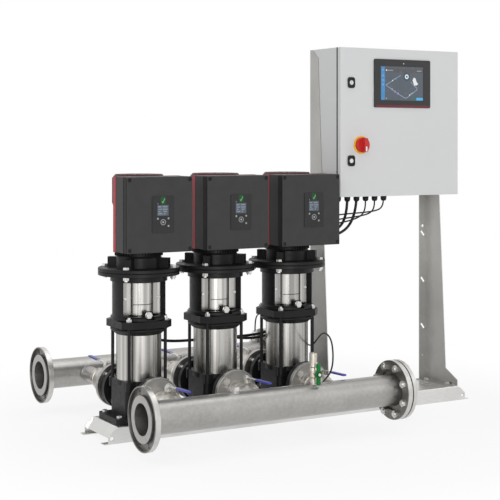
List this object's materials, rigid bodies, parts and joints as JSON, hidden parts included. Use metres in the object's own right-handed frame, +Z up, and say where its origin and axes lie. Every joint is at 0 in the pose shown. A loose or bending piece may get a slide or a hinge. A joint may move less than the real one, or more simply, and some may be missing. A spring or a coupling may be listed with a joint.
{
  "type": "booster pump set",
  "caption": "Pressure booster: vertical pumps with drives on a base frame between suction and discharge manifolds, with valves, and a control cabinet on posts.",
  "frame": {"origin": "on the floor under the middle of the base frame, at the centre of its four floor bolts", "axes": "+X along the manifolds from their open ends towards the cabinet, -Y towards the discharge manifold and the cabinet door, +Z up"},
  "size_m": [1.65, 1.1649, 1.446],
  "materials": {
    "frame_zinc": "galvanised sheet, satin",
    "post_steel": "grey coated sheet, satin",
    "cabinet_paint": "light grey powder coat, fine texture",
    "hinge_steel": "zinc plated",
    "seal_rubber": "foamed rubber",
    "panel_plastic": "moulded, satin, with a glass screen",
    "switch_yellow": "moulded, satin",
    "switch_red": "moulded, satin",
    "lock_black": "moulded",
    "lock_metal": "die cast, nickel plated",
    "plate_zinc": "galvanised sheet",
    "module_plastic": "moulded",
    "gland_plastic": "moulded polyamide",
    "cable_sheath": "extruded sheath",
    "manifold_steel": "pickled stainless steel",
    "flange_steel": "pressed stainless steel, satin",
    "gasket_rubber": "flat rubber",
    "bolt_steel": "zinc plated",
    "valve_nickel": "nickel plated casting",
    "lever_blue": "vinyl grip on a plated steel lever",
    "valve_brass": "nickel plated",
    "handle_green": "moulded",
    "sensor_steel": "machined",
    "pump_black": "black cathodic coat, satin",
    "sleeve_steel": "brushed stainless tube",
    "shaft_steel": "turned",
    "drive_grey": "powder coated die casting",
    "drive_dark": "moulded, satin",
    "hmi_plastic": "moulded frame with a display"
  },
  "bodies": {
    "pump_set": {"base_frame": "frame_zinc", "blind_flanges": "flange_steel", "cabinet_box": "cabinet_paint", "cabinet_post_left": "post_steel", "cabinet_post_right": "post_steel", "cable_glands": "gland_plastic", "cables": "cable_sheath", "check_valves": "pump_black", "control_panels": "hmi_plastic", "controller_modules": "module_plastic", "coupling_guards": "sleeve_steel", "discharge_manifold": "manifold_steel", "door_hinges": "hinge_steel", "drive_box_1": "drive_grey", "drive_box_2": "drive_grey", "drive_box_3": "drive_grey", "drive_covers": "drive_dark", "fan_covers": "pump_black", "flange_bolts": "bolt_steel", "flange_gaskets": "gasket_rubber", "foot_bolts": "bolt_steel", "isolating_valves": "valve_nickel", "loose_flanges": "flange_steel", "motor_1": "pump_black", "motor_2": "pump_black", "motor_3": "pump_black", "motor_bolts": "bolt_steel", "motor_stool_1": "pump_black", "motor_stool_2": "pump_black", "motor_stool_3": "pump_black", "mounting_plate": "plate_zinc", "outer_sleeves": "sleeve_steel", "port_flanges": "flange_steel", "pressure_sensors": "sensor_steel", "pump_base_1": "pump_black", "pump_base_2": "pump_black", "pump_base_3": "pump_black", "pump_heads": "pump_black", "stay_bolts": "bolt_steel", "suction_manifold": "manifold_steel", "tank_valve": "valve_brass", "threaded_plugs": "bolt_steel"},
    "door": {"cabinet_door": "cabinet_paint", "door_seal": "seal_rubber", "touch_panel": "panel_plastic", "switch_collar": "switch_yellow", "lock_housings": "lock_black"},
    "switch_knob": {"main_switch_knob": "switch_red"},
    "lock_upper": {"door_lock_upper": "lock_metal"},
    "lock_lower": {"door_lock_lower": "lock_metal"},
    "tank_handle": {"tank_valve_handle": "handle_green"},
    "front_lever_1": {"discharge_lever_1": "lever_blue"},
    "rear_lever_1": {"suction_lever_1": "lever_blue"},
    "rotor_1_line": {"rotor_1": "shaft_steel"},
    "front_lever_2": {"discharge_lever_2": "lever_blue"},
    "rear_lever_2": {"suction_lever_2": "lever_blue"},
    "rotor_2_line": {"rotor_2": "shaft_steel"},
    "front_lever_3": {"discharge_lever_3": "lever_blue"},
    "rear_lever_3": {"suction_lever_3": "lever_blue"},
    "rotor_3_line": {"rotor_3": "shaft_steel"}
  },
  "joints": [
    {"name": "door_hinge", "type": "hinge", "parent": "pump_set", "child": "door", "pos_m": [0.763, -0.095, 1.151], "axis": [0, 0, 1], "range_deg": [0, 105]},
    {"name": "main_switch", "type": "hinge", "parent": "door", "child": "switch_knob", "pos_m": [0.279, -0.109, 1.061], "axis": [0, 1, 0], "range_deg": [0, 90]},
    {"name": "upper_lock", "type": "hinge", "parent": "door", "child": "lock_upper", "pos_m": [0.2315, -0.109, 1.307], "axis": [0, -1, 0], "range_deg": [0, 90]},
    {"name": "lower_lock", "type": "hinge", "parent": "door", "child": "lock_lower", "pos_m": [0.2315, -0.109, 0.9985], "axis": [0, -1, 0], "range_deg": [0, 90]},
    {"name": "tank_valve_turn", "type": "hinge", "parent": "pump_set", "child": "tank_handle", "pos_m": [-0.143, -0.4434, 0.242], "axis": [0, 1, 0], "range_deg": [0, 90]},
    {"name": "discharge_valve_1", "type": "hinge", "parent": "pump_set", "child": "front_lever_1", "pos_m": [-0.639, -0.24, 0.212], "axis": [0, 0, 1], "range_deg": [0, 90]},
    {"name": "suction_valve_1", "type": "hinge", "parent": "pump_set", "child": "rear_lever_1", "pos_m": [-0.639, 0.295, 0.212], "axis": [0, 0, 1], "range_deg": [0, 90]},
    {"name": "shaft_1", "type": "hinge", "parent": "pump_set", "child": "rotor_1_line", "pos_m": [-0.639, 0, 0.5], "axis": [0, 0, 1], "continuous": true},
    {"name": "discharge_valve_2", "type": "hinge", "parent": "pump_set", "child": "front_lever_2", "pos_m": [-0.319, -0.24, 0.212], "axis": [0, 0, 1], "range_deg": [0, 90]},
    {"name": "suction_valve_2", "type": "hinge", "parent": "pump_set", "child": "rear_lever_2", "pos_m": [-0.319, 0.295, 0.212], "axis": [0, 0, 1], "range_deg": [0, 90]},
    {"name": "shaft_2", "type": "hinge", "parent": "pump_set", "child": "rotor_2_line", "pos_m": [-0.319, 0, 0.5], "axis": [0, 0, 1], "continuous": true},
    {"name": "discharge_valve_3", "type": "hinge", "parent": "pump_set", "child": "front_lever_3", "pos_m": [0.001, -0.24, 0.212], "axis": [0, 0, 1], "range_deg": [0, 90]},
    {"name": "suction_valve_3", "type": "hinge", "parent": "pump_set", "child": "rear_lever_3", "pos_m": [0.001, 0.295, 0.212], "axis": [0, 0, 1], "range_deg": [0, 90]},
    {"name": "shaft_3", "type": "hinge", "parent": "pump_set", "child": "rotor_3_line", "pos_m": [0.001, 0, 0.5], "axis": [0, 0, 1], "continuous": true}
  ]
}
